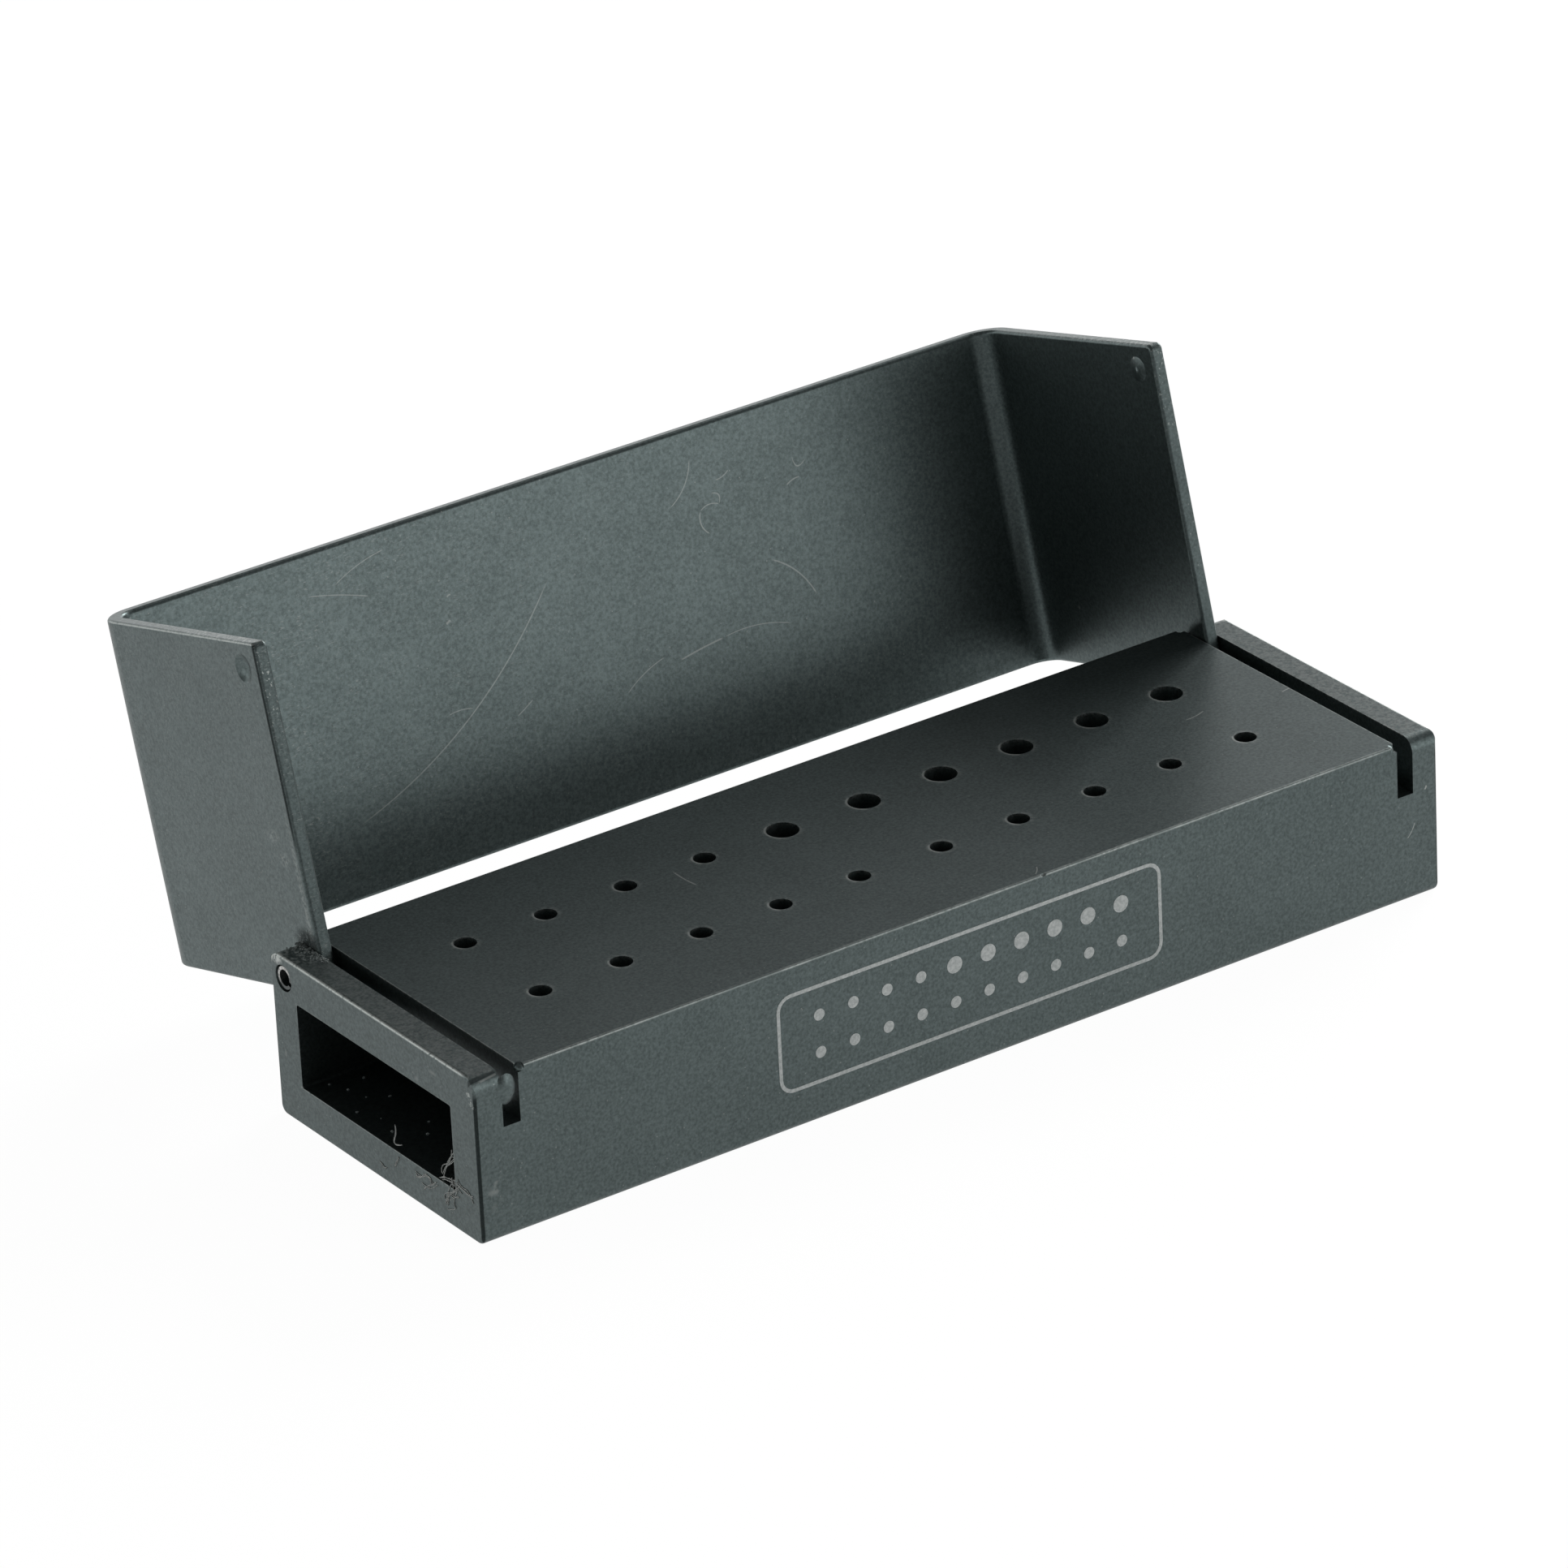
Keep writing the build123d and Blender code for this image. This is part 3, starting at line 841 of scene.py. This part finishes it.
def dust_in_the_window():
    """Specks of dust on the floor of the left window."""
    draw = random.Random(9)
    grains = bmesh.new()
    for x, y in dust_places:
        radius = draw.uniform(*dust_radius)
        stretch = (*[draw.uniform(*span) for span in dust_stretch], grain_flatness, 1)
        rest = Matrix.Translation((x, y, window_bottom + dust_lift * radius)) @ Matrix.Diagonal(stretch)
        bmesh.ops.create_icosphere(grains, subdivisions=1, radius=radius, matrix=rest)
    roughen(grains, draw)
    return finished_piece(grains, "window_dust")


def lint_at_the_window():
    """Fibres caught on the sharp lower front corner of the left window, straying more and more."""
    draw = random.Random(12)
    on_face = -half_length - lint_proud
    curve = bpy.data.curves.new("window_lint", "CURVE")
    curve.dimensions = "3D"
    curve.bevel_depth = lint_radius * MM
    curve.bevel_resolution = 1
    curve.use_fill_caps = True
    curve.resolution_u = 6
    for inset, points, fibres in lint_strands:
        for fibre in range(fibres):
            spline = curve.splines.new("NURBS")
            spline.points.add(len(points) - 1)
            for i, (y, z) in enumerate(points):
                stray = [draw.gauss(0, lint_stray * fibre) for axis in range(2)]
                spline.points[i].co = ((on_face + inset) * MM, (y + stray[0]) * MM, (z + stray[1]) * MM, 1)
            spline.order_u = 3
            spline.use_endpoint_u = True
    return bpy.data.objects.new("window_lint", curve)


def plan_print():
    """A thin print on the front face: the plan of the holes in a rounded frame, drawn flat and stood up."""
    ink = bmesh.new()
    outline = Matrix.Diagonal((print_length, print_height, 1, 1))
    bmesh.ops.create_grid(ink, x_segments=1, y_segments=1, size=0.5, matrix=outline)
    bmesh.ops.bevel(ink, geom=ink.verts[:], offset=print_corner, segments=print_corner_steps, profile=0.5,
                    affect="VERTICES", material=-1)
    middle = ink.faces[:]
    bmesh.ops.inset_region(ink, faces=middle, thickness=print_line, use_boundary=True)
    bmesh.ops.delete(ink, geom=middle, context="FACES")
    bmesh.ops.solidify(ink, geom=ink.faces[:], thickness=2 * print_proud)
    bmesh.ops.translate(ink, vec=(0, 0, -print_proud - min(v.co.z for v in ink.verts)), verts=ink.verts)
    small = small_hole_radius * print_dot_scale
    large = large_hole_radius * print_dot_scale
    for column in range(print_columns):
        x = (column - (print_columns - 1) / 2) * print_pitch
        rear = small if column < print_small_columns else large
        for y, radius in ((-print_row, small), (print_row, rear)):
            bmesh.ops.create_cone(ink, cap_ends=True, segments=print_dot_sides, radius1=radius,
                                  radius2=radius, depth=2 * print_proud,
                                  matrix=Matrix.Translation((x, y, 0)))
    bmesh.ops.rotate(ink, cent=(0, 0, 0), matrix=Matrix.Rotation(math.pi / 2, 3, "X"), verts=ink.verts)
    bmesh.ops.translate(ink, vec=(0, -half_depth, print_middle_z), verts=ink.verts)
    bmesh.ops.recalc_face_normals(ink, faces=ink.faces)
    return finished_piece(ink, "hole_plan_print")


def floor():
    """A wide pale floor. It shows near white to the camera and still takes the object's shadow."""
    paper = bmesh.new()
    bmesh.ops.create_grid(paper, x_segments=1, y_segments=1, size=floor_half_side)
    piece = finished_piece(paper, "floor")
    bpy.context.scene.collection.objects.link(piece)
    finish = Finish("floor_paper")
    finish.set(Base_Color=PAPER, Roughness=0.9)
    glow = finish.add("ShaderNodeEmission", {"Color": WHITE, "Strength": FLOOR_GLOW}).outputs[0]
    seen = finish.add("ShaderNodeLightPath").outputs
    straight = finish.most(seen["Is Camera Ray"], seen["Is Transmission Ray"])
    share = finish.most(finish.times(straight, FLOOR_TO_CAMERA),
                        finish.times(seen["Is Glossy Ray"], FLOOR_IN_METAL))
    blend = finish.add("ShaderNodeMixShader", {0: share, 1: finish.shader.outputs[0], 2: glow}).outputs[0]
    finish.feed(finish.tree.nodes["Material Output"].inputs["Surface"], blend)
    piece.data.materials.append(finish.material)


def lamp(name, place, side, power):
    """A square lamp that points at the block."""
    data = bpy.data.lights.new(name, "AREA")
    data.size = side
    data.energy = power
    piece = bpy.data.objects.new(name, data)
    piece.location = place
    piece.rotation_euler = (Vector(LAMP_TARGET) - Vector(place)).to_track_quat("-Z", "Y").to_euler()
    bpy.context.scene.collection.objects.link(piece)


def studio():
    """White light from the horizon, dimmer overhead and behind the camera, with low lamps on the right."""
    world = bpy.data.worlds.new("studio")
    world.use_nodes = True
    bpy.context.scene.world = world
    sky = Nodes(world.node_tree)
    toward = sky.add("ShaderNodeTexCoord").outputs["Generated"]
    height = sky.axes(toward)[2]
    level = sky.ramp(height, HORIZON_TOP, ZENITH_FROM, HORIZON, ZENITH)
    facing = sky.add("ShaderNodeVectorMath", {0: toward, 1: DIM_SIDE}, operation="DOT_PRODUCT")
    side = facing.outputs["Value"]
    level = sky.times(level, sky.ramp(side, DIM_FROM, DIM_FULL, 1.0, DIM_SHARE))
    to_camera = sky.add("ShaderNodeLightPath").outputs["Is Camera Ray"]
    background = sky.tree.nodes["Background"]
    sky.feed(background.inputs["Strength"], sky.ramp(to_camera, 0.0, 1.0, level, 1.0))
    sky.feed(background.inputs["Color"], WHITE)
    for each in LAMPS:
        lamp(*each)


def camera():
    """The view of the block from its left front: place in millimetres, heading, dip, roll and lens."""
    place = Vector((-353.2, -514.96, 325.32))
    heading = math.radians(33.96)
    dip = math.radians(26.26)
    roll = math.radians(-2.82)
    data = bpy.data.cameras.new("camera")
    data.lens = 228.69
    data.sensor_width = 36.0
    data.clip_start = 0.01
    data.clip_end = 20.0
    piece = bpy.data.objects.new("camera", data)
    aim = Matrix.Rotation(-heading, 4, "Z") @ Matrix.Rotation(math.pi / 2 - dip, 4, "X")
    aim = aim @ Matrix.Rotation(roll, 4, "Z")
    piece.matrix_world = Matrix.Translation(place * MM) @ aim
    bpy.context.scene.collection.objects.link(piece)
    bpy.context.scene.camera = piece


camera()
studio()
floor()
bpy.context.scene.view_settings.view_transform = "Standard"

refinish("block", block_finish())
refinish("cover", cover_finish())
steel = pin_finish()
refinish("hinge_pin_left", steel)
refinish("hinge_pin_right", steel)
dirt = soft_finish("dried_dirt", CHALK, DIRT, size=0.2, roughness=0.9)
lay_on_block(crust_by_the_hinge(), dirt)
lay_on_block(dust_in_the_window(), dirt)
lay_on_block(lint_at_the_window(), soft_finish("lint", FIBRE, FIBRE_DARK, size=0.3, roughness=0.8))
lay_on_block(plan_print(), soft_finish("ink", INK, INK_THIN, size=0.25, roughness=0.5))
